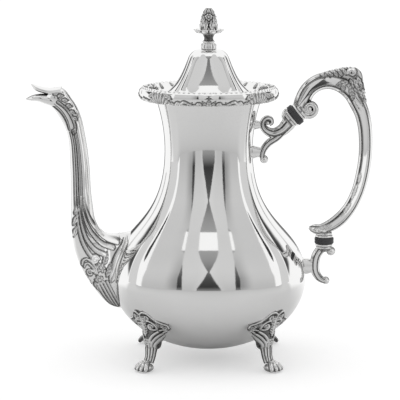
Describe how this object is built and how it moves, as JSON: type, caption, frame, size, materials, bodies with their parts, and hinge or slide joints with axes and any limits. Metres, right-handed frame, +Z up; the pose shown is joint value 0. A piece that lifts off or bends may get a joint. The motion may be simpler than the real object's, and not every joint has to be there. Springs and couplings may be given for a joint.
{
  "type": "coffee pot",
  "caption": "Silver-plated pear-shaped coffee pot with panelled body, swan-neck spout, scroll handle on black heat breaks, hinged domed lid with leafy finial, and cast feet.",
  "frame": {"origin": "middle of the footprint, level with the soles of the feet", "axes": "+Z up, the spout points to -X, the handle to +X"},
  "size_m": [0.2728, 0.1544, 0.28],
  "materials": {
    "polished_silver": "mirror polish",
    "cast_silver": "polished relief with darkened recesses",
    "black_insulator": "satin",
    "steel_pin": "ground",
    "brass_fittings": "turned"
  },
  "bodies": {
    "pot": {"body_shell": "polished_silver", "base_plate": "polished_silver", "rim_border": "cast_silver", "hinge_body_leaf": "cast_silver", "spout_shell": "cast_silver", "handle_grip": "cast_silver", "upper_bracket": "cast_silver", "lower_bracket": "cast_silver", "foot_back_right": "cast_silver", "foot_back_left": "cast_silver", "foot_front_left": "cast_silver", "foot_front_right": "cast_silver", "upper_insulator": "black_insulator", "lower_insulator": "black_insulator", "hinge_pin": "steel_pin", "handle_pins": "steel_pin"},
    "lid": {"lid_dome": "polished_silver", "lid_bezel": "polished_silver", "hinge_lid_leaf": "cast_silver", "finial_collar": "cast_silver", "finial_stem": "cast_silver", "finial_leaf_plate": "cast_silver", "finial_bud": "cast_silver", "finial_stud": "brass_fittings", "finial_washer": "brass_fittings", "finial_nut": "brass_fittings"}
  },
  "joints": [
    {"name": "lid_hinge", "type": "hinge", "parent": "pot", "child": "lid", "pos_m": [0.04978, 0, 0.2175], "axis": [0, 1, 0], "range_deg": [0, 100]}
  ]
}
